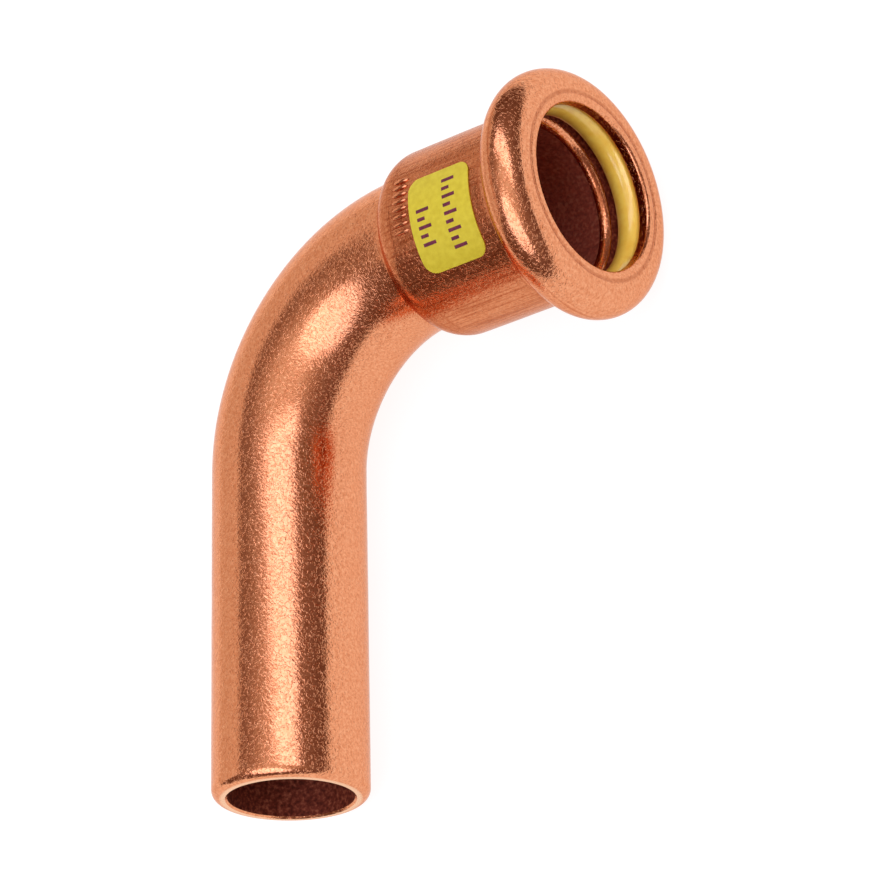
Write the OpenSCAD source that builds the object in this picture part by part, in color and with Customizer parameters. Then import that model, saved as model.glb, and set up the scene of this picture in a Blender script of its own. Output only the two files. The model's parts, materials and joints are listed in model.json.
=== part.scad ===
// Copper press elbow, 90 degrees, with one plain end and one press socket.
// The elbow is drawn with its leg along Y and its socket along X, and is then
// laid on its side, as it comes to rest: the leg on a line, the bead on a point.

/* [Tube] */
// Outside diameter of the tube and of the plain end
tube_d = 15; // [13:0.5:18]
// Wall thickness of the formed tube
wall = 1.5; // [1.2:0.1:1.8]
// Straight length of the plain end, up to the bend
leg_l = 33; // [24:0.5:60]
// Radius of the bend, at the tube's centre line
bend_r = 18; // [15:0.5:30]
// Radius that rounds the outer edge of the plain end
end_round = 1; // [0.5:0.1:1.2]
// Chamfer that breaks the inner edge of the plain end
end_chamfer = 0.2; // [0.1:0.05:0.4]

/* [Socket] */
// Straight neck between the bend and the shoulder
neck_l = 0.5; // [0.4:0.1:4]
// Outer radius of the shoulder's curve
shoulder_r = 3; // [2.8:0.1:4]
// Radius of the hollow at the shoulder's foot
foot_r = 0.5; // [0.2:0.1:0.6]
// Radial clearance between the socket's bore and the tube that it takes
bore_gap = 0.25; // [0.15:0.05:0.4]
// Length of the socket, from the shoulder to the mouth
socket_l = 17.4; // [15:0.1:24]

/* [Bead] */
// Height of the bead above the socket
bead_h = 2.95; // [2.85:0.05:3.5]
// Outer radius of the bead's crown
crown_r = 2.5; // [2.3:0.1:2.8]
// Radius of the hollow behind the bead
heel_r = 1.2; // [0.6:0.1:1.4]
// Radial clearance between the lip and the tube
lip_gap = 0.75; // [0.6:0.05:0.9]
// Thickness of the lip
lip_t = 1.3; // [1.1:0.1:1.5]
// Radius that rounds the lip's front edge
lip_round = 0.4; // [0.3:0.05:0.5]
// Radius that rounds the lip's rear edge
lip_back_round = 0.25; // [0.15:0.05:0.3]
// Slope of the groove's rear flank, from square
flank_slope = 20; // [10:1:30]
// Radius between the groove's rear flank and the bore
flank_round = 1; // [0.6:0.1:1.2]
// Distance from the lip's edge to the turned line on the front face
line_inset = 1; // [0.8:0.1:1.2]
// Radius of the turned line
line_r = 0.3; // [0.2:0.05:0.4]
// Depth of the turned line
line_depth = 0.06; // [0.04:0.01:0.12]

/* [Seal] */
// Diameter of the seal's cord
cord_d = 2.8; // [2.6:0.1:3]
// Play between the seal and the bottom of its groove
seal_gap = 0.05; // [0.03:0.01:0.1]

/* [Label] */
// Length of the label along the socket
label_l = 7.3; // [5:0.1:8]
// Width of the label across the socket
label_w = 9.2; // [6:0.1:11]
// Corner radius of the label
label_round = 1.2; // [0.5:0.1:2]
// Thickness of the label
label_t = 0.1; // [0.05:0.01:0.2]
// Thickness of the glue line under the label
label_glue = 0.02; // [0.01:0.01:0.05]
// Distance from the mouth to the label
label_inset = 7.5; // [7:0.1:9]
// Turn of the label about the socket, towards the leg
label_turn = 17; // [-30:1:30]

/* [Hidden] */
$fn = 128;
// How far a cut runs past the face that it opens
past = 1;
// How far a round crosses the wall that it runs into, in place of just touching it
hair = 0.001;

tube_r = tube_d / 2;
tube_in_r = tube_r - wall;

// Shoulder: an arc from the neck to the socket, and an inner arc a wall inside it
bore_r = tube_r + bore_gap;
socket_r = bore_r + wall;
shoulder_rise = socket_r - tube_r;
shoulder_t = neck_l + sqrt(pow(shoulder_r, 2) - pow(shoulder_r - shoulder_rise, 2));
mouth_t = shoulder_t + socket_l;
shoulder_c = [socket_r - shoulder_r, shoulder_t];

// Foot: a hollow that runs from the neck into the shoulder's arc
foot_c = hollow_centre(shoulder_c, shoulder_r, tube_r, foot_r);

// Bead: a round crown, and a hollow behind it
bead_r = socket_r + bead_h;
crown_c = [bead_r - crown_r, mouth_t - crown_r];
heel_c = hollow_centre(crown_c, crown_r, socket_r, heel_r);

// Groove: round at the bottom, about the seal, with a sloping rear flank
cord_r = cord_d / 2;
groove_r = cord_r + seal_gap;
groove_front_t = mouth_t - lip_t;
groove_c = [bead_r - wall - groove_r, groove_front_t - groove_r];
flank_top = groove_c + groove_r * [sin(flank_slope), -cos(flank_slope)];
flank_foot = [bore_r, flank_top.y - (flank_top.x - bore_r) * tan(flank_slope)];
flank_cut = flank_round * tan((90 - flank_slope) / 2);
flank_c = [bore_r + flank_round, flank_foot.y - flank_cut];
flank_end = flank_foot + flank_cut * [cos(flank_slope), sin(flank_slope)];

// Lip: a short land that clears the tube, with both its edges rounded
lip_r = tube_r + lip_gap;
lip_front_c = [lip_r + lip_round, mouth_t - lip_round];
lip_back_c = [lip_r + lip_back_round, groove_front_t + lip_back_round];
line_c = [lip_r + line_inset, mouth_t + line_r - line_depth];

// Rest: the turn about the leg that brings the bead down to the leg's floor
crown_x = bend_r + crown_c.y;
rest_tilt = atan(crown_c.x / crown_x)
    - asin((tube_r - crown_r) / norm([crown_c.x, crown_x]));
x_low = -tube_r;
x_high = crown_x * cos(rest_tilt) + crown_c.x * sin(rest_tilt) + crown_r;
y_low = -leg_l;
y_high = bend_r + bead_r;

// Centre of a hollow of radius r that touches a round of radius big_r about c,
// and a straight wall at radius wall_r that lies before the round
function hollow_centre(c, big_r, wall_r, r) =
    [wall_r + r, c.y - sqrt(pow(big_r + r, 2) - pow(wall_r + r - c.x, 2))];

// Point of the segment from a to b that lies r from a
function towards(a, b, r) = a + r * (b - a) / norm(b - a);

module disc(c, r) {
    translate(c) circle(r);
}

// Strip of a section, from the axis out to radius r, between two stations
module strip(r, from, to) {
    translate([0, from]) square([r, to - from]);
}

// Fill between a straight wall at radius wall_r and a round about c, less the hollow
module hollow_fill(hollow_c, r, wall_r, c) {
    difference() {
        polygon([hollow_c, [wall_r - r, hollow_c.y], c, towards(hollow_c, c, r)]);
        disc(hollow_c, r + hair);
    }
}

// Cut that rounds the lip's edge to radius r about c, on its front (1) or its rear (-1)
module lip_edge_cut(c, r, side) {
    difference() {
        translate([c.x - r - past, side > 0 ? c.y : c.y - r - past]) square(r + past);
        disc(c, r);
    }
}

// Places what is drawn with the leg along Y as it rests, over the middle of its box
module lying() {
    translate([-(x_low + x_high) / 2, -(y_low + y_high) / 2, tube_r])
        rotate([0, -rest_tilt, 0])
            children();
}

// Places what is revolved about Z on the socket's axis, from the end of the bend
module on_socket() {
    translate([bend_r, bend_r, 0]) rotate([0, 90, 0]) children();
}

module leg_section() {
    difference() {
        union() {
            strip(tube_r, 0, leg_l - end_round);
            strip(tube_r - end_round, 0, leg_l);
            disc([tube_r - end_round, leg_l - end_round], end_round);
        }
        strip(tube_in_r, -past, leg_l + past);
        polygon([
            [tube_in_r - past, leg_l + past],
            [tube_in_r - past, leg_l - end_chamfer - past],
            [tube_in_r + end_chamfer + past, leg_l + past],
        ]);
    }
}

module socket_outside() {
    strip(tube_r, 0, shoulder_t);
    intersection() {
        disc(shoulder_c, shoulder_r + hair);
        strip(socket_r + past, 0, shoulder_t + shoulder_r);
    }
    hollow_fill(foot_c, foot_r, tube_r, shoulder_c);
    strip(socket_r, shoulder_t, crown_c.y);
    hollow_fill(heel_c, heel_r, socket_r, crown_c);
    disc(crown_c, crown_r);
    strip(crown_c.x, crown_c.y, mouth_t - hair);
}

module socket_inside() {
    strip(tube_in_r, -past, shoulder_t);
    disc(shoulder_c, shoulder_r - wall + hair);
    strip(bore_r, shoulder_t, groove_front_t);
    disc(groove_c, groove_r + 2 * hair);
    polygon([
        [0, groove_front_t + hair],
        [groove_c.x, groove_front_t + hair],
        groove_c,
        flank_top,
        flank_foot,
        [0, flank_foot.y],
    ]);
    difference() {
        polygon([flank_c, [bore_r, flank_c.y], flank_foot, flank_end]);
        disc(flank_c, flank_round + hair);
    }
    strip(lip_r + hair, groove_front_t - past, mouth_t + past);
    lip_edge_cut(lip_front_c, lip_round, 1);
    lip_edge_cut(lip_back_c, lip_back_round, -1);
    disc(line_c, line_r);
}

module socket_section() {
    difference() {
        socket_outside();
        socket_inside();
    }
}

// The tube, bent and formed from one length, with its socket swaged on one end
module elbow_body() {
    color("#c9794f") lying() {
        rotate([90, 0, 0]) rotate_extrude() leg_section();
        translate([bend_r, 0, 0]) rotate([0, 0, 90]) rotate_extrude(angle = 90)
            translate([bend_r, 0]) difference() {
                circle(tube_r);
                circle(tube_in_r);
            }
        on_socket() rotate_extrude() socket_section();
    }
}

// The seal, a round cord that lies in the bead's groove
module seal_ring() {
    color("#ddb245") lying() on_socket()
        rotate_extrude() disc(groove_c, cord_r);
}

// The label, a thin patch with round corners that follows the socket's outside
module marker_label() {
    under_r = socket_r + label_glue;
    corner = [label_w, label_l] / 2 - [label_round, label_round];
    color("#d6c83c") lying() translate([bend_r, bend_r, 0]) rotate([label_turn, 0, 0])
        rotate([0, 90, 0]) rotate([0, 0, -90])
            intersection() {
                translate([0, 0, mouth_t - label_inset - label_l]) difference() {
                    cylinder(h = label_l, r = under_r + label_t);
                    translate([0, 0, -past]) cylinder(h = label_l + 2 * past, r = under_r);
                }
                translate([0, 0, mouth_t - label_inset - label_l / 2]) rotate([90, 0, 0])
                    linear_extrude(socket_r + past + label_t) {
                        square([label_w - 2 * label_round, label_l], center = true);
                        square([label_w, label_l - 2 * label_round], center = true);
                        for (sx = [-1, 1], sy = [-1, 1])
                            translate([sx * corner.x, sy * corner.y]) circle(label_round);
                    }
            }
}

elbow_body();
seal_ring();
marker_label();
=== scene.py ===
import json
import math
import bpy
from mathutils import Matrix, Vector


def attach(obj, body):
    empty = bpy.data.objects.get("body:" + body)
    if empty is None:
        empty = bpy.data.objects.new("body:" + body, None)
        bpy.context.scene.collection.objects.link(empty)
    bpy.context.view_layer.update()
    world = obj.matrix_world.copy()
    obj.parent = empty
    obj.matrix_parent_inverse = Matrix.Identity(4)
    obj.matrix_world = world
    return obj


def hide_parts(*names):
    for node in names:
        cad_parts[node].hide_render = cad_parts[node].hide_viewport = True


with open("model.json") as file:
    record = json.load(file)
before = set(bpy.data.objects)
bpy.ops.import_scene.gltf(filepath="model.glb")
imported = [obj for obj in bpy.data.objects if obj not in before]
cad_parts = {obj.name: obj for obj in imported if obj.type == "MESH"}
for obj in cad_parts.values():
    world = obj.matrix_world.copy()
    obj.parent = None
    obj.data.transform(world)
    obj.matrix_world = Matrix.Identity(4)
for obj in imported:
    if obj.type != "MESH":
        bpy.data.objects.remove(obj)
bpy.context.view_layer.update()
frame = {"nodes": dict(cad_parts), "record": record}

mm = 0.001
mounts = {mount["name"]: mount for mount in frame["record"]["mounts"]}
scene = bpy.context.scene
scene.view_settings.view_transform = "Standard"
print("frame loaded:", sorted(frame["nodes"]))


# Helpers

def srgb(hexText):  # sRGB hex to the linear colour that a socket takes
    parts = [int(hexText[i:i + 2], 16) / 255 for i in (1, 3, 5)]
    return [p / 12.92 if p <= 0.04045 else ((p + 0.055) / 1.055) ** 2.4 for p in parts] + [1.0]


def addNode(tree, kind, sockets=None, **settings):  # one node, its settings, its values and its links
    node = tree.nodes.new(kind)
    for name, value in settings.items():
        setattr(node, name, value)
    for key, value in (sockets or {}).items():
        if isinstance(value, bpy.types.NodeSocket):
            tree.links.new(value, node.inputs[key])
        else:
            node.inputs[key].default_value = value
    return node


def newMaterial(name):  # an empty material and its tree
    material = bpy.data.materials.new(name)
    material.use_nodes = True
    tree = material.node_tree
    tree.nodes.clear()
    return material, tree


def setStops(ramp, stops):  # colour ramp stops as (place, hex)
    while len(ramp.elements) < len(stops):
        ramp.elements.new(0.5)
    for element, (place, hexText) in zip(ramp.elements, stops):
        element.position = place
        element.color = srgb(hexText)


def newTree(name, inputs):  # a geometry tree with named inputs
    tree = bpy.data.node_groups.new(name, "GeometryNodeTree")
    tree.interface.new_socket("Geometry", in_out="INPUT", socket_type="NodeSocketGeometry")
    for inputName, kind in inputs.items():
        tree.interface.new_socket(inputName, in_out="INPUT", socket_type="NodeSocket" + kind)
    tree.interface.new_socket("Geometry", in_out="OUTPUT", socket_type="NodeSocketGeometry")
    return tree


def runTree(obj, tree, values):  # runs a tree on an object and keeps what it makes as a plain mesh
    modifier = obj.modifiers.new(tree.name, "NODES")
    modifier.node_group = tree
    for item in tree.interface.items_tree:
        if item.in_out == "INPUT" and item.name in values:
            modifier[item.identifier] = values[item.name]
    graph = bpy.context.evaluated_depsgraph_get()
    made = obj.evaluated_get(graph)
    plain = bpy.data.meshes.new_from_object(made, preserve_all_data_layers=True, depsgraph=graph)
    obj.modifiers.clear()
    obj.data = plain


def newPiece(name, vertices, edges=()):  # a mesh object at the origin
    mesh = bpy.data.meshes.new(name)
    mesh.from_pydata(vertices, edges, [])
    obj = bpy.data.objects.new(name, mesh)
    scene.collection.objects.link(obj)
    return obj


# The pipe's path, from the two mounts: the leg's axis and the socket's axis cross at the corner

path = {
    "bendRadius": 18.0,   # at the centre line, mm
}

tubeRadius = mounts["plain_end"]["dims"]["r_mm"]
boreRadius = mounts["socket"]["dims"]["r_mm"]
legWay = -Vector(mounts["plain_end"]["axis"])
socketWay = Vector(mounts["socket"]["axis"])
legPoint = Vector(mounts["plain_end"]["pos_m"])
corner = legPoint + legWay * (Vector(mounts["socket"]["pos_m"]) - legPoint).dot(legWay)
bendStart = corner - legWay * path["bendRadius"] * mm
bendLong = path["bendRadius"] * math.pi / 2   # centre line length, mm

# drawn straight along Z with the inside of the bend on +X, then bent, then laid in the row frame
laid = Matrix((socketWay, legWay.cross(socketWay), legWay)).transposed().to_4x4()
laid.translation = bendStart


# Materials

# the wall drawn straight, and laid flat: round the tube from its underside, along it, and out from its axis;
# the last two are given by themselves too, all in mm
def unrolled(tree):
    straight = addNode(tree, "ShaderNodeAttribute", attribute_name="straight").outputs["Vector"]
    parts = addNode(tree, "ShaderNodeSeparateXYZ", {"Vector": straight}).outputs
    up = addNode(tree, "ShaderNodeMath", {0: parts["Y"], 1: -1.0}, operation="MULTIPLY")
    angle = addNode(tree, "ShaderNodeMath", {0: parts["X"], 1: up.outputs["Value"]}, operation="ARCTAN2")
    around = addNode(tree, "ShaderNodeMath", {0: angle.outputs["Value"], 1: tubeRadius}, operation="MULTIPLY")
    across = addNode(tree, "ShaderNodeVectorMath", {0: straight, 1: (1, 1, 0)}, operation="MULTIPLY")
    radius = addNode(tree, "ShaderNodeVectorMath", {0: across.outputs["Vector"]}, operation="LENGTH")
    flat = addNode(tree, "ShaderNodeCombineXYZ", {"X": around.outputs["Value"], "Y": parts["Z"],
                                                  "Z": radius.outputs["Value"]})
    return straight, flat.outputs["Vector"], parts["Z"], radius.outputs["Value"]


def laidNoise(tree, flat, wide, long, turn, detail):  # noise laid on the flat wall, sizes in mm
    lie = addNode(tree, "ShaderNodeMapping", {"Vector": flat, "Rotation": (0, 0, math.radians(turn)),
                                              "Scale": (wide, long, wide)}, vector_type="TEXTURE")
    return addNode(tree, "ShaderNodeTexNoise", {"Vector": lie.outputs["Vector"], "Scale": 1.0,
                                                "Detail": detail}).outputs["Fac"]


def between(tree, station, first, last, fade):  # 1 between two stations along the pipe, 0 elsewhere, in mm
    ends = [addNode(tree, "ShaderNodeMapRange",
                    {"Value": station, "From Min": end - fade, "From Max": end + fade},
                    interpolation_type="SMOOTHSTEP").outputs["Result"] for end in (first, last)]
    return addNode(tree, "ShaderNodeMath", {0: ends[0], 1: ends[1]}, operation="SUBTRACT").outputs["Value"]


copper = {
    "colours": [(0.3, "#D5855B"), (0.5, "#E4966C"), (0.7, "#EDA57B")],
    "edgeTint": "#F5DDD0",       # at a glancing view
    "rough": 0.12,
    "grain": 0.3,                # crystal grain, mm
    "grainDetail": 2.0,
    "grainHigh": 0.018,          # heights are for the bump, mm
    "pit": 0.32,                 # crooked pits, mm, and where their sides lie in the noise
    "pitDetail": 1.0,
    "pitSides": (0.52, 0.62),
    "pitDeep": 0.013,
    "twist": 0.8,                # of the grain and the pits
    "strokeLong": 0.8,           # rubbed strokes, mm; drawn wider than they are, so that they show
    "strokeWide": 0.18,
    "strokeDetail": 1.0,
    "strokeTurns": (38.0, -44.0),
    "strokeHigh": 0.008,
    "drawLong": 8.0,             # draw lines along the tube, mm
    "drawWide": 0.2,
    "drawHigh": (0.001, 0.009),  # on the tube, on the socket
    "ringLong": 9.0,             # rings round the socket, mm
    "ringWide": 0.3,
    "ringBands": [(28.5, 32.5), (42.0, 47.0)],   # stations, counted from the start of the bend, mm
    "toolDetail": 2.0,           # of the draw lines and the rings
    "toolEdges": (0.46, 0.64),   # where they begin in their noise, and where they are full
    "toolTint": "#E1CABD",
    "swage": (29.8, 43.0),       # stations of the socket's wall, mm
    "swageFade": 1.0,
    "swageTint": "#EEE3DA",
    "swageRough": 0.2,
    "rim": (-32.96, -32.999),    # stations where the cut end begins and is full, mm
    # painted highlight: the pale colour mixed onto the cut end
    "rimColour": "#F5CBA8",
    "faceFrom": 48.6,            # the front face's station, mm
    "faceLine": 9.25,            # radius of the line turned on it, mm
    "faceLineSides": (0.3, 0.1),
    # painted shade: the darker tint in the groove of the turned line
    "faceLineTint": "#E4D9D4",
}


def copperOutside():
    # Drawn copper tube, bent and swaged, bright from the tool: a warm mirror that fine grain breaks up
    material, tree = newMaterial("drawn_copper_bright")
    straight, flat, station, radius = unrolled(tree)
    grain = addNode(tree, "ShaderNodeTexNoise",
                    {"Vector": straight, "Scale": 1 / copper["grain"], "Detail": copper["grainDetail"],
                     "Distortion": copper["twist"]}).outputs["Fac"]
    bump = addNode(tree, "ShaderNodeBump", {"Height": grain, "Distance": copper["grainHigh"] * mm})
    spots = addNode(tree, "ShaderNodeTexNoise",
                    {"Vector": straight, "Scale": 1 / copper["pit"], "Detail": copper["pitDetail"],
                     "Distortion": copper["twist"]}).outputs["Fac"]
    pit = addNode(tree, "ShaderNodeMapRange",
                  {"Value": spots, "From Min": copper["pitSides"][0], "From Max": copper["pitSides"][1]},
                  interpolation_type="SMOOTHSTEP").outputs["Result"]
    bump = addNode(tree, "ShaderNodeBump", {"Height": pit, "Distance": copper["pitDeep"] * mm,
                                            "Normal": bump.outputs["Normal"]})
    for turn in copper["strokeTurns"]:
        stroke = laidNoise(tree, flat, copper["strokeWide"], copper["strokeLong"], turn,
                           copper["strokeDetail"])
        bump = addNode(tree, "ShaderNodeBump", {"Height": stroke, "Distance": copper["strokeHigh"] * mm,
                                                "Normal": bump.outputs["Normal"]})
    # the socket's wall was annealed for the swage: browner, duller, with plainer draw lines
    socketWall = between(tree, station, *copper["swage"], copper["swageFade"])
    draw = laidNoise(tree, flat, copper["drawWide"], copper["drawLong"], 0, copper["toolDetail"])
    drawDeep = addNode(tree, "ShaderNodeMapRange", {"Value": socketWall, "To Min": copper["drawHigh"][0] * mm,
                                                    "To Max": copper["drawHigh"][1] * mm})
    bump = addNode(tree, "ShaderNodeBump", {"Height": draw, "Distance": drawDeep.outputs["Result"],
                                            "Normal": bump.outputs["Normal"]})
    dull = addNode(tree, "ShaderNodeMapRange", {"Value": socketWall, "To Min": copper["rough"],
                                                "To Max": copper["swageRough"]})
    # the swaging tool leaves darker lines along the socket, and rings at the shoulder and behind the bead
    rings = laidNoise(tree, flat, copper["ringLong"], copper["ringWide"], 0, copper["toolDetail"])
    marks = [(draw, socketWall)]
    for first, last in copper["ringBands"]:
        marks.append((rings, between(tree, station, first, last, copper["swageFade"])))
    worn = 0.0
    for lines, where in marks:
        shown = addNode(tree, "ShaderNodeMapRange", {"Value": lines, "From Min": copper["toolEdges"][0],
                                                     "From Max": copper["toolEdges"][1]}).outputs["Result"]
        shown = addNode(tree, "ShaderNodeMath", {0: shown, 1: where}, operation="MULTIPLY").outputs["Value"]
        worn = addNode(tree, "ShaderNodeMath", {0: shown, 1: worn}, operation="MAXIMUM").outputs["Value"]
    # the cut end is painted pale, a painted highlight, and the line turned on the front face is painted
    # darker, a painted shade in its groove
    cutHighlight = addNode(tree, "ShaderNodeMapRange", {"Value": station, "From Min": copper["rim"][0],
                                               "From Max": copper["rim"][1]}).outputs["Result"]
    offset = addNode(tree, "ShaderNodeMath", {0: radius, 1: copper["faceLine"]}, operation="SUBTRACT")
    away = addNode(tree, "ShaderNodeMath", {0: offset.outputs["Value"]}, operation="ABSOLUTE")
    onLine = addNode(tree, "ShaderNodeMapRange",
                     {"Value": away.outputs["Value"], "From Min": copper["faceLineSides"][0],
                      "From Max": copper["faceLineSides"][1]}).outputs["Result"]
    onFront = addNode(tree, "ShaderNodeMath", {0: station, 1: copper["faceFrom"]}, operation="GREATER_THAN")
    # painted shade along the turned line, on the front face only
    lineShade = addNode(tree, "ShaderNodeMath", {0: onLine, 1: onFront.outputs["Value"]}, operation="MULTIPLY")
    ramp = addNode(tree, "ShaderNodeValToRGB", {"Fac": grain})
    setStops(ramp.color_ramp, copper["colours"])
    colour = ramp.outputs["Color"]
    layers = [(worn, "toolTint", "MULTIPLY"), (socketWall, "swageTint", "MULTIPLY"), (cutHighlight, "rimColour", "MIX"),
              (lineShade.outputs["Value"], "faceLineTint", "MULTIPLY")]
    for share, tint, blend in layers:
        colour = addNode(tree, "ShaderNodeMix", {"Factor": share, 6: colour, 7: srgb(copper[tint])},
                         data_type="RGBA", blend_type=blend).outputs[2]
    shader = addNode(tree, "ShaderNodeBsdfPrincipled",
                     {"Base Color": colour, "Metallic": 1.0, "Specular Tint": srgb(copper["edgeTint"]),
                      "Roughness": dull.outputs["Result"], "Normal": bump.outputs["Normal"]})
    addNode(tree, "ShaderNodeOutputMaterial", {"Surface": shader.outputs["BSDF"]})
    return material


bore = {
    "colours": [(0.35, "#672819"), (0.5, "#8C3D2A"), (0.7, "#C06E50")],
    # painted light: lighter colours for the bore in the socket
    "socketColours": [(0.35, "#AD5748"), (0.5, "#C36552"), (0.7, "#D88A70")],
    "socket": (29.0, 43.4),   # the stations between which it has them, mm
    "socketFade": 0.5,
    "grain": 0.35,            # mm
    "grainDetail": 3.0,
    "grainHigh": 0.02,
    "metal": 0.45,            # the rest is the brown film of oxide
    "rough": 0.45,
}


def copperInside():
    # Annealed copper bore, dull and browned by the heat: dark red, and lighter pink in the socket, which is
    # painted light near the mouth
    material, tree = newMaterial("annealed_copper_bore")
    straight = addNode(tree, "ShaderNodeAttribute", attribute_name="straight").outputs["Vector"]
    grain = addNode(tree, "ShaderNodeTexNoise", {"Vector": straight, "Scale": 1 / bore["grain"],
                                                 "Detail": bore["grainDetail"]}).outputs["Fac"]
    brown = addNode(tree, "ShaderNodeValToRGB", {"Fac": grain})
    setStops(brown.color_ramp, bore["colours"])
    socketLit = addNode(tree, "ShaderNodeValToRGB", {"Fac": grain})
    setStops(socketLit.color_ramp, bore["socketColours"])
    station = addNode(tree, "ShaderNodeSeparateXYZ", {"Vector": straight}).outputs["Z"]
    # the socket's stations, where the bore takes the lighter colours of painted light
    socketWall = between(tree, station, *bore["socket"], bore["socketFade"])
    colour = addNode(tree, "ShaderNodeMix", {"Factor": socketWall, 6: brown.outputs["Color"],
                                             7: socketLit.outputs["Color"]}, data_type="RGBA")
    bump = addNode(tree, "ShaderNodeBump", {"Height": grain, "Distance": bore["grainHigh"] * mm})
    shader = addNode(tree, "ShaderNodeBsdfPrincipled",
                     {"Base Color": colour.outputs[2], "Metallic": bore["metal"], "Roughness": bore["rough"],
                      "Normal": bump.outputs["Normal"]})
    addNode(tree, "ShaderNodeOutputMaterial", {"Surface": shader.outputs["BSDF"]})
    return material


rubber = {
    "colours": [(0.3, "#F4C648"), (0.7, "#FBD75E")],
    "mottle": 0.8,     # mm
    "mottleDetail": 3.0,
    "grain": 0.12,     # mm
    "grainHigh": 0.004,
    "rough": 0.3,
    "grease": 0.12,    # roughness of the grease
    "greaseIor": 1.45,
}


def sealRubber():
    # Moulded nitrile rubber, yellow, under the film of grease that eases the tube in
    material, tree = newMaterial("moulded_nitrile_yellow")
    straight = addNode(tree, "ShaderNodeAttribute", attribute_name="straight").outputs["Vector"]
    mottle = addNode(tree, "ShaderNodeTexNoise", {"Vector": straight, "Scale": 1 / rubber["mottle"],
                                                  "Detail": rubber["mottleDetail"]}).outputs["Fac"]
    colour = addNode(tree, "ShaderNodeValToRGB", {"Fac": mottle})
    setStops(colour.color_ramp, rubber["colours"])
    grain = addNode(tree, "ShaderNodeTexNoise", {"Vector": straight,
                                                 "Scale": 1 / rubber["grain"]}).outputs["Fac"]
    bump = addNode(tree, "ShaderNodeBump", {"Height": grain, "Distance": rubber["grainHigh"] * mm})
    shader = addNode(tree, "ShaderNodeBsdfPrincipled",
                     {"Base Color": colour.outputs["Color"], "Roughness": rubber["rough"], "Coat Weight": 1.0,
                      "Coat Roughness": rubber["grease"], "Coat IOR": rubber["greaseIor"],
                      "Normal": bump.outputs["Normal"]})
    addNode(tree, "ShaderNodeOutputMaterial", {"Surface": shader.outputs["BSDF"]})
    return material


film = {
    "colours": [(0.3, "#D7C62C"), (0.7, "#E4D63A")],
    "mottle": 0.6,     # mm
    "mottleDetail": 3.0,
    "grain": 0.15,     # mm
    "grainHigh": 0.003,
    "rough": 0.42,
}


def labelFilm():
    # Satin polyester label film, printed yellow all over: even, with a fine tooth
    material, tree = newMaterial("satin_label_film")
    place = addNode(tree, "ShaderNodeTexCoord").outputs["Object"]
    mottle = addNode(tree, "ShaderNodeTexNoise", {"Vector": place, "Scale": 1 / (film["mottle"] * mm),
                                                  "Detail": film["mottleDetail"]}).outputs["Fac"]
    colour = addNode(tree, "ShaderNodeValToRGB", {"Fac": mottle})
    setStops(colour.color_ramp, film["colours"])
    grain = addNode(tree, "ShaderNodeTexNoise", {"Vector": place,
                                                 "Scale": 1 / (film["grain"] * mm)}).outputs["Fac"]
    bump = addNode(tree, "ShaderNodeBump", {"Height": grain, "Distance": film["grainHigh"] * mm})
    shader = addNode(tree, "ShaderNodeBsdfPrincipled",
                     {"Base Color": colour.outputs["Color"], "Roughness": film["rough"],
                      "Normal": bump.outputs["Normal"]})
    addNode(tree, "ShaderNodeOutputMaterial", {"Surface": shader.outputs["BSDF"]})
    return material


ink = {
    "colours": [(0.35, "#5C1733"), (0.65, "#7A2245")],
    "mottle": 0.3,     # mm
    "rough": 0.5,
}


def labelInk():
    # Screen ink on the film, plum: flat, with small thin spots
    material, tree = newMaterial("screen_ink_plum")
    place = addNode(tree, "ShaderNodeTexCoord").outputs["Object"]
    mottle = addNode(tree, "ShaderNodeTexNoise", {"Vector": place,
                                                  "Scale": 1 / (ink["mottle"] * mm)}).outputs["Fac"]
    colour = addNode(tree, "ShaderNodeValToRGB", {"Fac": mottle})
    setStops(colour.color_ramp, ink["colours"])
    shader = addNode(tree, "ShaderNodeBsdfPrincipled",
                     {"Base Color": colour.outputs["Color"], "Roughness": ink["rough"]})
    addNode(tree, "ShaderNodeOutputMaterial", {"Surface": shader.outputs["BSDF"]})
    return material


materials = {
    "outside": copperOutside(),
    "inside": copperInside(),
    "seal": sealRubber(),
    "label": labelFilm(),
    "ink": labelInk(),
}
print("materials made:", len(materials))


# Turned and bent pieces: an outline in (radius, station) is turned about the path and bent along it

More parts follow.
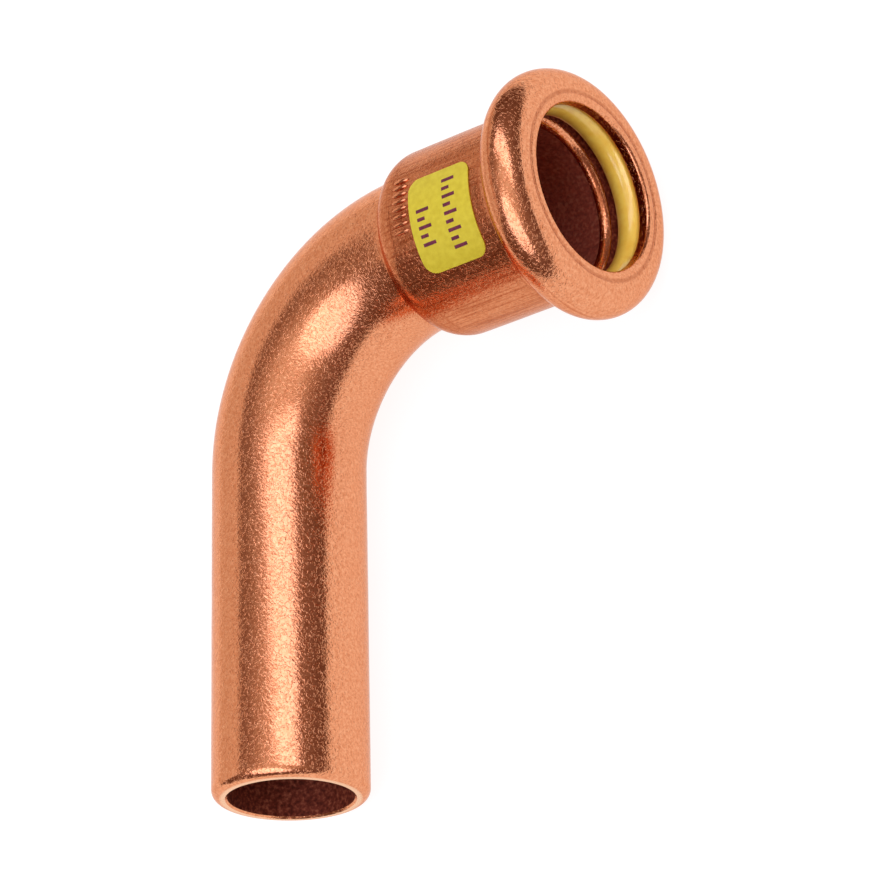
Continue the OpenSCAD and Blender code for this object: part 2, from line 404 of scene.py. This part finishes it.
def turnAndBendTree():
    tree = newTree("turn_and_bend", {"Segments": "Int", "Bend Radius": "Float", "Bend Length": "Float",
                                     "Wave Height": "Float", "Wave Size": "Float",
                                     "Outside": "Material", "Inside": "Material"})
    given = addNode(tree, "NodeGroupInput").outputs
    outline = addNode(tree, "GeometryNodeMeshToCurve", {"Mesh": given["Geometry"]})
    circle = addNode(tree, "GeometryNodeCurvePrimitiveCircle", {"Resolution": given["Segments"],
                                                                "Radius": mm})
    turned = addNode(tree, "GeometryNodeCurveToMesh", {"Curve": circle.outputs["Curve"],
                                                       "Profile Curve": outline.outputs["Curve"]})
    place = addNode(tree, "GeometryNodeInputPosition").outputs["Position"]
    inMm = addNode(tree, "ShaderNodeVectorMath", {0: place, "Scale": 1 / mm}, operation="SCALE")
    kept = addNode(tree, "GeometryNodeStoreNamedAttribute",
                   {"Geometry": turned.outputs["Mesh"], "Name": "straight", "Value": inMm.outputs["Vector"]},
                   data_type="FLOAT_VECTOR", domain="POINT")
    # a slow wave in the wall, as bending and swaging leave it
    waveScale = addNode(tree, "ShaderNodeMath", {0: 1.0, 1: given["Wave Size"]}, operation="DIVIDE")
    wave = addNode(tree, "ShaderNodeTexNoise", {"Vector": place, "Scale": waveScale.outputs["Value"],
                                                "Detail": 1.0})
    centred = addNode(tree, "ShaderNodeMath", {0: wave.outputs["Fac"], 1: 0.5}, operation="SUBTRACT")
    lift = addNode(tree, "ShaderNodeMath", {0: centred.outputs["Value"], 1: given["Wave Height"]},
                   operation="MULTIPLY")
    across = addNode(tree, "ShaderNodeVectorMath", {0: place, 1: (1, 1, 0)}, operation="MULTIPLY")
    radial = addNode(tree, "ShaderNodeVectorMath", {0: across.outputs["Vector"]}, operation="NORMALIZE")
    offset = addNode(tree, "ShaderNodeVectorMath", {0: radial.outputs["Vector"],
                                                    "Scale": lift.outputs["Value"]}, operation="SCALE")
    waved = addNode(tree, "GeometryNodeSetPosition", {"Geometry": kept.outputs["Geometry"],
                                                      "Offset": offset.outputs["Vector"]})
    # the bend: stations from 0 to the bend's length turn about its centre, what lies past them stays straight
    parts = addNode(tree, "ShaderNodeSeparateXYZ", {"Vector": place}).outputs
    bent = addNode(tree, "ShaderNodeClamp", {"Value": parts["Z"], "Min": 0.0, "Max": given["Bend Length"]})
    past = addNode(tree, "ShaderNodeMath", {0: parts["Z"], 1: bent.outputs["Result"]}, operation="SUBTRACT")
    angle = addNode(tree, "ShaderNodeMath", {0: bent.outputs["Result"], 1: given["Bend Radius"]},
                    operation="DIVIDE")
    centre = addNode(tree, "ShaderNodeCombineXYZ", {"X": given["Bend Radius"]})
    start = addNode(tree, "ShaderNodeCombineXYZ", {"X": parts["X"], "Y": parts["Y"],
                                                   "Z": past.outputs["Value"]})
    turn = addNode(tree, "ShaderNodeVectorRotate",
                   {"Vector": start.outputs["Vector"], "Center": centre.outputs["Vector"],
                    "Axis": (0, 1, 0), "Angle": angle.outputs["Value"]}, rotation_type="AXIS_ANGLE")
    placed = addNode(tree, "GeometryNodeSetPosition", {"Geometry": waved.outputs["Geometry"],
                                                       "Position": turn.outputs["Vector"]})
    outwards = addNode(tree, "GeometryNodeFlipFaces", {"Mesh": placed.outputs["Geometry"]})
    smooth = addNode(tree, "GeometryNodeSetShadeSmooth", {"Geometry": outwards.outputs["Mesh"]})
    whole = addNode(tree, "GeometryNodeRealizeInstances", {"Geometry": smooth.outputs["Geometry"]})
    outside = addNode(tree, "GeometryNodeSetMaterial", {"Geometry": whole.outputs["Geometry"],
                                                        "Material": given["Outside"]})
    # faces take the inside's finish where more than half of their points are marked for it
    dull = addNode(tree, "GeometryNodeInputNamedAttribute", {"Name": "inside"}, data_type="FLOAT")
    isDull = addNode(tree, "ShaderNodeMath", {0: dull.outputs["Attribute"], 1: 0.5}, operation="GREATER_THAN")
    inside = addNode(tree, "GeometryNodeSetMaterial", {"Geometry": outside.outputs["Geometry"],
                                                       "Selection": isDull.outputs["Value"],
                                                       "Material": given["Inside"]})
    addNode(tree, "NodeGroupOutput", {"Geometry": inside.outputs["Geometry"]})
    return tree


turnAndBend = turnAndBendTree()


def arc(centre, radius, first, last, steps):  # points of an arc in (radius, station), angles in degrees
    angles = [math.radians(first + (last - first) * i / steps) for i in range(steps + 1)]
    return [(centre[0] + radius * math.cos(a), centre[1] + radius * math.sin(a)) for a in angles]


def run(start, end, step):  # points of a straight stretch, its ends included
    count = max(1, round(math.dist(start, end) / step))
    return [tuple(s + (e - s) * i / count for s, e in zip(start, end)) for i in range(count + 1)]


def bearing(start, end):  # angle from one point to another, degrees
    return math.degrees(math.atan2(end[1] - start[1], end[0] - start[0]))


def hollowCentre(round_, roundRadius, wallRadius, radius):  # a hollow between a straight wall and a round
    rise = wallRadius + radius - round_[0]
    return (wallRadius + radius, round_[1] - math.sqrt((roundRadius + radius) ** 2 - rise ** 2))


def makeTurned(name, stretches, outside, inside, segments, waveHigh, waveWide):  # stretches as (points, dull)
    same = 1e-6     # points nearer than this are one, mm
    carrier = 1.0   # radius of the circle that the outline runs round, mm
    points = []
    marks = []
    for stretch, dull in stretches:
        for point in stretch:
            if not points or math.dist(point, points[-1]) > same:
                points.append(point)
                marks.append(1.0 if dull else 0.0)
    if math.dist(points[0], points[-1]) < same:
        points.pop()
        marks.pop()
    edges = [(i, (i + 1) % len(points)) for i in range(len(points))]
    obj = newPiece(name, [((r - carrier) * mm, -t * mm, 0) for r, t in points], edges)
    obj.data.attributes.new("inside", "FLOAT", "POINT").data.foreach_set("value", marks)
    runTree(obj, turnAndBend, {
        "Segments": segments, "Bend Radius": path["bendRadius"] * mm, "Bend Length": bendLong * mm,
        "Wave Height": waveHigh * mm, "Wave Size": waveWide * mm, "Outside": outside, "Inside": inside})
    obj.data.transform(laid)
    return obj


# Elbow: plain end, bend, and a swaged socket with its bead

elbow = {
    "wall": 1.5,         # mm, as the other lengths here
    "legLong": 33.0,
    "endRound": 1.0,
    "endChamfer": 0.2,
    "neckLong": 0.5,
    "shoulderRadius": 3.0,
    "footRadius": 0.5,
    "socketLong": 17.4,
    "beadHigh": 2.95,
    "crownRadius": 2.5,
    "heelRadius": 1.2,
    "lipGap": 0.75,
    "lipThick": 1.3,
    "lipRound": 0.4,
    "lipBackRound": 0.25,
    "flankSlope": 20.0,  # degrees
    "flankRound": 1.0,
    "lineInset": 1.0,
    "lineRadius": 0.3,
    "lineDeep": 0.06,
    "sealCord": 2.8,
    "sealGap": 0.05,
    "step": 0.8,         # length of a face along a straight stretch
    "arcSteps": {"end": 8, "foot": 6, "shoulder": 14, "heel": 10, "crown": 28, "line": 6, "lipFront": 8,
                 "lipBack": 6, "groove": 20, "flank": 10, "stop": 8},
    "segments": 192,     # round the axis
    "waveHigh": 0.04,
    "waveWide": 5.0,
    "sharpAngle": 35.0,  # edges that turn more than this stay crisp, degrees
}

innerRadius = tubeRadius - elbow["wall"]
socketRadius = boreRadius + elbow["wall"]
beadRadius = socketRadius + elbow["beadHigh"]
shoulderDrop = elbow["shoulderRadius"] - (socketRadius - tubeRadius)
shoulderAt = bendLong + elbow["neckLong"] + math.sqrt(elbow["shoulderRadius"] ** 2 - shoulderDrop ** 2)
mouthAt = shoulderAt + elbow["socketLong"]
grooveRadius = elbow["sealCord"] / 2 + elbow["sealGap"]
grooveFront = mouthAt - elbow["lipThick"]
groove = (beadRadius - elbow["wall"] - grooveRadius, grooveFront - grooveRadius)


def elbowOutline():
    e = elbow
    step = e["step"]
    steps = e["arcSteps"]
    endAt = -e["legLong"]
    endCentre = (tubeRadius - e["endRound"], endAt + e["endRound"])
    shoulder = (socketRadius - e["shoulderRadius"], shoulderAt)
    foot = hollowCentre(shoulder, e["shoulderRadius"], tubeRadius, e["footRadius"])
    crown = (beadRadius - e["crownRadius"], mouthAt - e["crownRadius"])
    heel = hollowCentre(crown, e["crownRadius"], socketRadius, e["heelRadius"])
    lipRadius = tubeRadius + e["lipGap"]
    lipFront = (lipRadius + e["lipRound"], mouthAt - e["lipRound"])
    lipBack = (lipRadius + e["lipBackRound"], grooveFront + e["lipBackRound"])
    line = (lipRadius + e["lineInset"], mouthAt + e["lineRadius"] - e["lineDeep"])
    lineTurn = math.degrees(math.acos((e["lineRadius"] - e["lineDeep"]) / e["lineRadius"]))
    slope = math.radians(e["flankSlope"])
    flankTop = (groove[0] + grooveRadius * math.sin(slope), groove[1] - grooveRadius * math.cos(slope))
    flankFoot = (boreRadius, flankTop[1] - (flankTop[0] - boreRadius) * math.tan(slope))
    flankCut = e["flankRound"] * math.tan((math.pi / 2 - slope) / 2)
    flank = (boreRadius + e["flankRound"], flankFoot[1] - flankCut)
    stopRadius = e["shoulderRadius"] - e["wall"]
    stopTurn = -math.degrees(math.acos((innerRadius - shoulder[0]) / stopRadius))

    outside = arc(endCentre, e["endRound"], -90, 0, steps["end"])
    outside += run((tubeRadius, endCentre[1]), (tubeRadius, foot[1]), step)
    outside += arc(foot, e["footRadius"], 180, bearing(foot, shoulder), steps["foot"])
    outside += arc(shoulder, e["shoulderRadius"], bearing(shoulder, foot), 0, steps["shoulder"])
    outside += run((socketRadius, shoulderAt), (socketRadius, heel[1]), step)
    outside += arc(heel, e["heelRadius"], 180, bearing(heel, crown), steps["heel"])
    outside += arc(crown, e["crownRadius"], bearing(crown, heel), 90, steps["crown"])
    outside += arc(line, e["lineRadius"], -90 + lineTurn, -90 - lineTurn, steps["line"])
    outside += arc(lipFront, e["lipRound"], 90, 180, steps["lipFront"])
    outside += arc(lipBack, e["lipBackRound"], 180, 270, steps["lipBack"])
    hollow = arc(groove, grooveRadius, 90, -90 + e["flankSlope"], steps["groove"])
    hollow += [(flank[0] + e["flankRound"] * math.cos(math.pi / 2 + slope),
                flank[1] + e["flankRound"] * math.sin(math.pi / 2 + slope))]
    edge = arc(flank, e["flankRound"], 90 + e["flankSlope"], 180, steps["flank"])[:-1]
    inside = run((boreRadius, flank[1]), (boreRadius, shoulderAt), step)
    inside += arc(shoulder, stopRadius, 0, stopTurn, steps["stop"])
    inside += run(inside[-1], (innerRadius, endAt + e["endChamfer"]), step)
    rim = [(innerRadius + e["endChamfer"], endAt)]
    return [(outside, False), (hollow, True), (edge, False), (inside, True), (rim, False)]


elbowPiece = makeTurned("elbow", elbowOutline(), materials["outside"], materials["inside"],
                        elbow["segments"], elbow["waveHigh"], elbow["waveWide"])
elbowPiece.data.set_sharp_from_angle(angle=math.radians(elbow["sharpAngle"]))
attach(elbowPiece, "root")
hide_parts("elbow_body")
print("elbow made:", len(elbowPiece.data.polygons), "faces")


# Seal: a round cord in the bead's groove

seal = {
    "sides": 40,         # round the cord
    "segments": 192,     # round the ring
    "waveHigh": 0.0,     # moulded, so even
    "waveWide": 1.0,
}

sealRound = arc(groove, elbow["sealCord"] / 2, 0, 360, seal["sides"])
sealPiece = makeTurned("seal", [(sealRound, False)], materials["seal"], materials["seal"],
                       seal["segments"], seal["waveHigh"], seal["waveWide"])
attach(sealPiece, "root")
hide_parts("seal_ring")
print("seal made:", len(sealPiece.data.polygons), "faces")


# Label: the film on the socket stays as it is modelled, and takes its finish

label = {
    "long": 7.3,        # along the socket, mm
    "wide": 9.6,        # round the socket, along the curve
    "inset": 7.5,       # from the mouth
    "turn": -73.0,      # of its middle, round the socket, degrees
    "lift": 0.12,       # of its face above the socket
}

labelNode = frame["nodes"]["marker_label"]
labelNode.data.materials.clear()
labelNode.data.materials.append(materials["label"])
print("label finished")


# Marks on the socket: bars laid flat as (station, way round, height), then wrapped round the wall

markShapes = {
    "barPoints": 5,       # along a bar's way round, so that it follows the wall
    "beadSegments": 12,
    "beadRings": 8,
}


def wrapMarksTree():
    tree = newTree("wrap_marks", {"Radius": "Float", "Turn": "Float", "Rounded": "Bool",
                                  "Material": "Material"})
    given = addNode(tree, "NodeGroupInput").outputs
    bar = addNode(tree, "GeometryNodeMeshCube", {"Vertices X": 2, "Vertices Y": markShapes["barPoints"],
                                                 "Vertices Z": 2})
    bead = addNode(tree, "GeometryNodeMeshUVSphere", {"Segments": markShapes["beadSegments"],
                                                      "Rings": markShapes["beadRings"], "Radius": 0.5})
    mark = addNode(tree, "GeometryNodeSwitch", {"Switch": given["Rounded"], "False": bar.outputs["Mesh"],
                                                "True": bead.outputs["Mesh"]}, input_type="GEOMETRY")
    size = addNode(tree, "GeometryNodeInputNamedAttribute", {"Name": "size"}, data_type="FLOAT_VECTOR")
    marks = addNode(tree, "GeometryNodeInstanceOnPoints", {"Points": given["Geometry"],
                                                           "Instance": mark.outputs["Output"],
                                                           "Scale": size.outputs["Attribute"]})
    whole = addNode(tree, "GeometryNodeRealizeInstances", {"Geometry": marks.outputs["Instances"]})
    place = addNode(tree, "GeometryNodeInputPosition").outputs["Position"]
    parts = addNode(tree, "ShaderNodeSeparateXYZ", {"Vector": place}).outputs
    swing = addNode(tree, "ShaderNodeMath", {0: parts["Y"], 1: given["Radius"]}, operation="DIVIDE")
    angle = addNode(tree, "ShaderNodeMath", {0: swing.outputs["Value"], 1: given["Turn"]}, operation="ADD")
    radius = addNode(tree, "ShaderNodeMath", {0: parts["Z"], 1: given["Radius"]}, operation="ADD")
    out = addNode(tree, "ShaderNodeCombineXYZ", {"X": radius.outputs["Value"], "Z": parts["X"]})
    wrapped = addNode(tree, "ShaderNodeVectorRotate", {"Vector": out.outputs["Vector"], "Axis": (0, 0, 1),
                                                       "Angle": angle.outputs["Value"]},
                      rotation_type="AXIS_ANGLE")
    placed = addNode(tree, "GeometryNodeSetPosition", {"Geometry": whole.outputs["Geometry"],
                                                       "Position": wrapped.outputs["Vector"]})
    smooth = addNode(tree, "GeometryNodeSetShadeSmooth", {"Geometry": placed.outputs["Geometry"],
                                                          "Shade Smooth": given["Rounded"]})
    final = addNode(tree, "GeometryNodeRealizeInstances", {"Geometry": smooth.outputs["Geometry"]})
    named = addNode(tree, "GeometryNodeSetMaterial", {"Geometry": final.outputs["Geometry"],
                                                      "Material": given["Material"]})
    addNode(tree, "NodeGroupOutput", {"Geometry": named.outputs["Geometry"]})
    return tree


wrapMarks = wrapMarksTree()

# straight stations on the socket, laid in the row frame
onSocket = Matrix((-legWay, legWay.cross(socketWay), socketWay)).transposed().to_4x4()
onSocket.translation = corner + socketWay * (path["bendRadius"] - bendLong) * mm


def makeMarks(name, marks, radius, turn, rounded, material):
    # a mark is (station, way round, long, wide, high), mm
    obj = newPiece(name, [(station * mm, way * mm, 0) for station, way, *size in marks])
    sizes = [value * mm for mark in marks for value in mark[2:]]
    obj.data.attributes.new("size", "FLOAT_VECTOR", "POINT").data.foreach_set("vector", sizes)
    runTree(obj, wrapMarks, {"Radius": radius * mm, "Turn": math.radians(turn), "Rounded": rounded,
                             "Material": material})
    obj.data.transform(onSocket)
    return obj


# Print on the label: two plain graduated scales

scales = {
    "columns": [(0.22, 0.36, 5), (0.66, 0.14, 9)],   # (place along the label, start round it, ticks)
    "pitch": 0.82,
    "tickLong": 1.5,
    "tickShort": 0.9,
    "tickWide": 0.34,
    "inkHigh": 0.012,
}


def scaleMarks():
    marks = []
    labelFrom = mouthAt - label["inset"] - label["long"]
    for along, start, ticks in scales["columns"]:
        for tick in range(ticks):
            long = scales["tickLong"] if tick % 2 == 0 else scales["tickShort"]
            station = labelFrom + along * label["long"] + (long - scales["tickLong"]) / 2
            way = (start - 0.5) * label["wide"] + tick * scales["pitch"]
            marks.append((station, way, long, scales["tickWide"], scales["inkHigh"]))
    return marks


printPiece = makeMarks("label_scales", scaleMarks(), socketRadius + label["lift"], label["turn"], False,
                       materials["ink"])
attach(printPiece, "root")
print("label scales made:", len(printPiece.data.polygons), "faces")


# Stamped strokes behind the label

stamp = {
    "strokes": 8,
    "gap": 1.2,         # from the label's edge to the middle of a stroke, mm
    "start": -0.56,     # round the label, as a share of its width
    "pitch": 0.76,
    "long": 1.9,
    "wide": 0.46,
    "high": 0.5,        # half of it stands out of the wall
}


def stampMarks():
    station = mouthAt - label["inset"] - label["long"] - stamp["gap"]
    start = stamp["start"] * label["wide"]
    return [(station, start + stroke * stamp["pitch"], stamp["long"], stamp["wide"], stamp["high"])
            for stroke in range(stamp["strokes"])]


stampPiece = makeMarks("stamped_strokes", stampMarks(), socketRadius, label["turn"], True,
                       materials["outside"])
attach(stampPiece, "root")
print("stamped strokes made:", len(stampPiece.data.polygons), "faces")


# Camera, at the photograph's view

view = {
    "target": (2.73, -0.18, 10.37),   # mm
    "distance": 365.06,               # mm
    "azimuth": -37.97,                # of the camera from the target, from +X towards +Y, degrees
    "elevation": 50.66,
    "roll": -60.1,
    "lens": 160.96,
    "sensor": 36.0,
    "clip": (0.01, 10.0),             # m
}

azimuth = math.radians(view["azimuth"])
elevation = math.radians(view["elevation"])
back = Vector((math.cos(elevation) * math.cos(azimuth), math.cos(elevation) * math.sin(azimuth),
               math.sin(elevation)))
cameraData = bpy.data.cameras.new("camera")
cameraData.lens = view["lens"]
cameraData.sensor_width = view["sensor"]
cameraData.clip_start, cameraData.clip_end = view["clip"]
camera = bpy.data.objects.new("camera", cameraData)
scene.collection.objects.link(camera)
camera.rotation_mode = "QUATERNION"
camera.location = (Vector(view["target"]) + back * view["distance"]) * mm
camera.rotation_quaternion = (back.to_track_quat("Z", "Y")
                              @ Matrix.Rotation(math.radians(view["roll"]), 3, "Z").to_quaternion())
scene.camera = camera


# Floor and light: a white floor, two softboxes overhead, a card at one side, a fill for the seal, a dim room

stage = {
    "floorWide": 12.0,                 # m
    "floorColour": "#808080",          # its share that takes light and shadow
    "floorGlow": 0.9,                  # its share that is white by itself
    "glowWay": (0.18, -0.12, 0.975),   # towards the brightest part of the ceiling
    # the room by how near a direction comes to that part
    "room": [(0.2, "#72594E"), (0.48, "#88716A"), (0.7, "#9B857A"), (0.81, "#BCA89D"), (0.89, "#D8C9BF"),
             (0.96, "#F7EDE6")],
}

# panels by the middle of each, the way that its back faces, its size, the brightness that metal sees in it
# and the one piece that it lights; m, degrees
panels = {
    "softbox_far": {"shape": "RECTANGLE", "at": (0.257, 0.414, 0.80), "back": (0, 0, 1), "wide": 1.15,
                    "deep": 0.415, "turn": 153.5, "bright": 1.75, "colour": (1.0, 1.05, 1.28), "only": None},
    "softbox_near": {"shape": "ELLIPSE", "at": (0.04, -0.86, 0.80), "back": (0, 0, 1), "wide": 0.94,
                     "deep": 1.46, "turn": 25.0, "bright": 1.72, "colour": (1.0, 1.05, 1.28), "only": None},
    "side_card": {"shape": "RECTANGLE", "at": (-1.0, 0.575, 0.5), "back": (-1, 0, 0), "wide": 1.85,
                  "deep": 1.0, "turn": 0.0, "bright": 0.66, "colour": (1.0, 0.97, 0.9), "only": None},
    # in front of the mouth, because the seal sits too deep in it for the softboxes
    "seal_fill": {"shape": "RECTANGLE", "at": (0.395, -0.08, 0.24), "back": (0.395, -0.08, 0.24), "wide": 0.3,
                  "deep": 0.3, "turn": 0.0, "bright": 3.0, "colour": (1.0, 1.0, 1.0), "only": sealPiece},
}


def floorCard():
    # White card: white to the eye and in the metal, and it keeps the object's shadow
    material, tree = newMaterial("white_card")
    rays = addNode(tree, "ShaderNodeLightPath").outputs
    seen = rays["Is Camera Ray"]
    for kind in ("Is Glossy Ray", "Is Transmission Ray"):
        seen = addNode(tree, "ShaderNodeMath", {0: seen, 1: rays[kind]}, operation="ADD").outputs["Value"]
    glow = addNode(tree, "ShaderNodeMath", {0: seen, 1: stage["floorGlow"]}, operation="MULTIPLY")
    light = addNode(tree, "ShaderNodeEmission", {"Strength": glow.outputs["Value"]})
    card = addNode(tree, "ShaderNodeBsdfDiffuse", {"Color": srgb(stage["floorColour"])})
    both = addNode(tree, "ShaderNodeAddShader", {0: card.outputs["BSDF"], 1: light.outputs["Emission"]})
    addNode(tree, "ShaderNodeOutputMaterial", {"Surface": both.outputs["Shader"]})
    return material


half = stage["floorWide"] / 2
floorMesh = bpy.data.meshes.new("floor")
floorCorners = [(-half, -half, 0), (half, -half, 0), (half, half, 0), (-half, half, 0)]
floorMesh.from_pydata(floorCorners, [], [(0, 1, 2, 3)])
floor = bpy.data.objects.new("floor", floorMesh)
scene.collection.objects.link(floor)
floorMesh.materials.append(floorCard())

for name, panel in panels.items():
    lampData = bpy.data.lights.new(name, "AREA")
    lampData.shape = panel["shape"]
    lampData.color = panel["colour"]
    lampData.size = panel["wide"]
    lampData.size_y = panel["deep"]
    area = panel["wide"] * panel["deep"] * (math.pi / 4 if panel["shape"] == "ELLIPSE" else 1.0)
    lampData.energy = math.pi * area * panel["bright"]
    lamp = bpy.data.objects.new(name, lampData)
    scene.collection.objects.link(lamp)
    lamp.location = panel["at"]
    lamp.rotation_mode = "QUATERNION"
    lamp.rotation_quaternion = (Vector(panel["back"]).to_track_quat("Z", "Y")
                                @ Matrix.Rotation(math.radians(panel["turn"]), 3, "Z").to_quaternion())
    if panel["only"]:
        lit = bpy.data.collections.new(panel["only"].name + "_only")
        lit.objects.link(panel["only"])
        lamp.light_linking.receiver_collection = lit

world = bpy.data.worlds.new("room")
world.use_nodes = True
room = world.node_tree
room.nodes.clear()
way = addNode(room, "ShaderNodeTexCoord").outputs["Generated"]
nearness = addNode(room, "ShaderNodeVectorMath", {0: way, 1: stage["glowWay"]}, operation="DOT_PRODUCT")
shade = addNode(room, "ShaderNodeValToRGB", {"Fac": nearness.outputs["Value"]})
setStops(shade.color_ramp, stage["room"])
air = addNode(room, "ShaderNodeBackground", {"Color": shade.outputs["Color"]})
addNode(room, "ShaderNodeOutputWorld", {"Surface": air.outputs["Background"]})
scene.world = world
print("floor and", len(panels), "panels set")
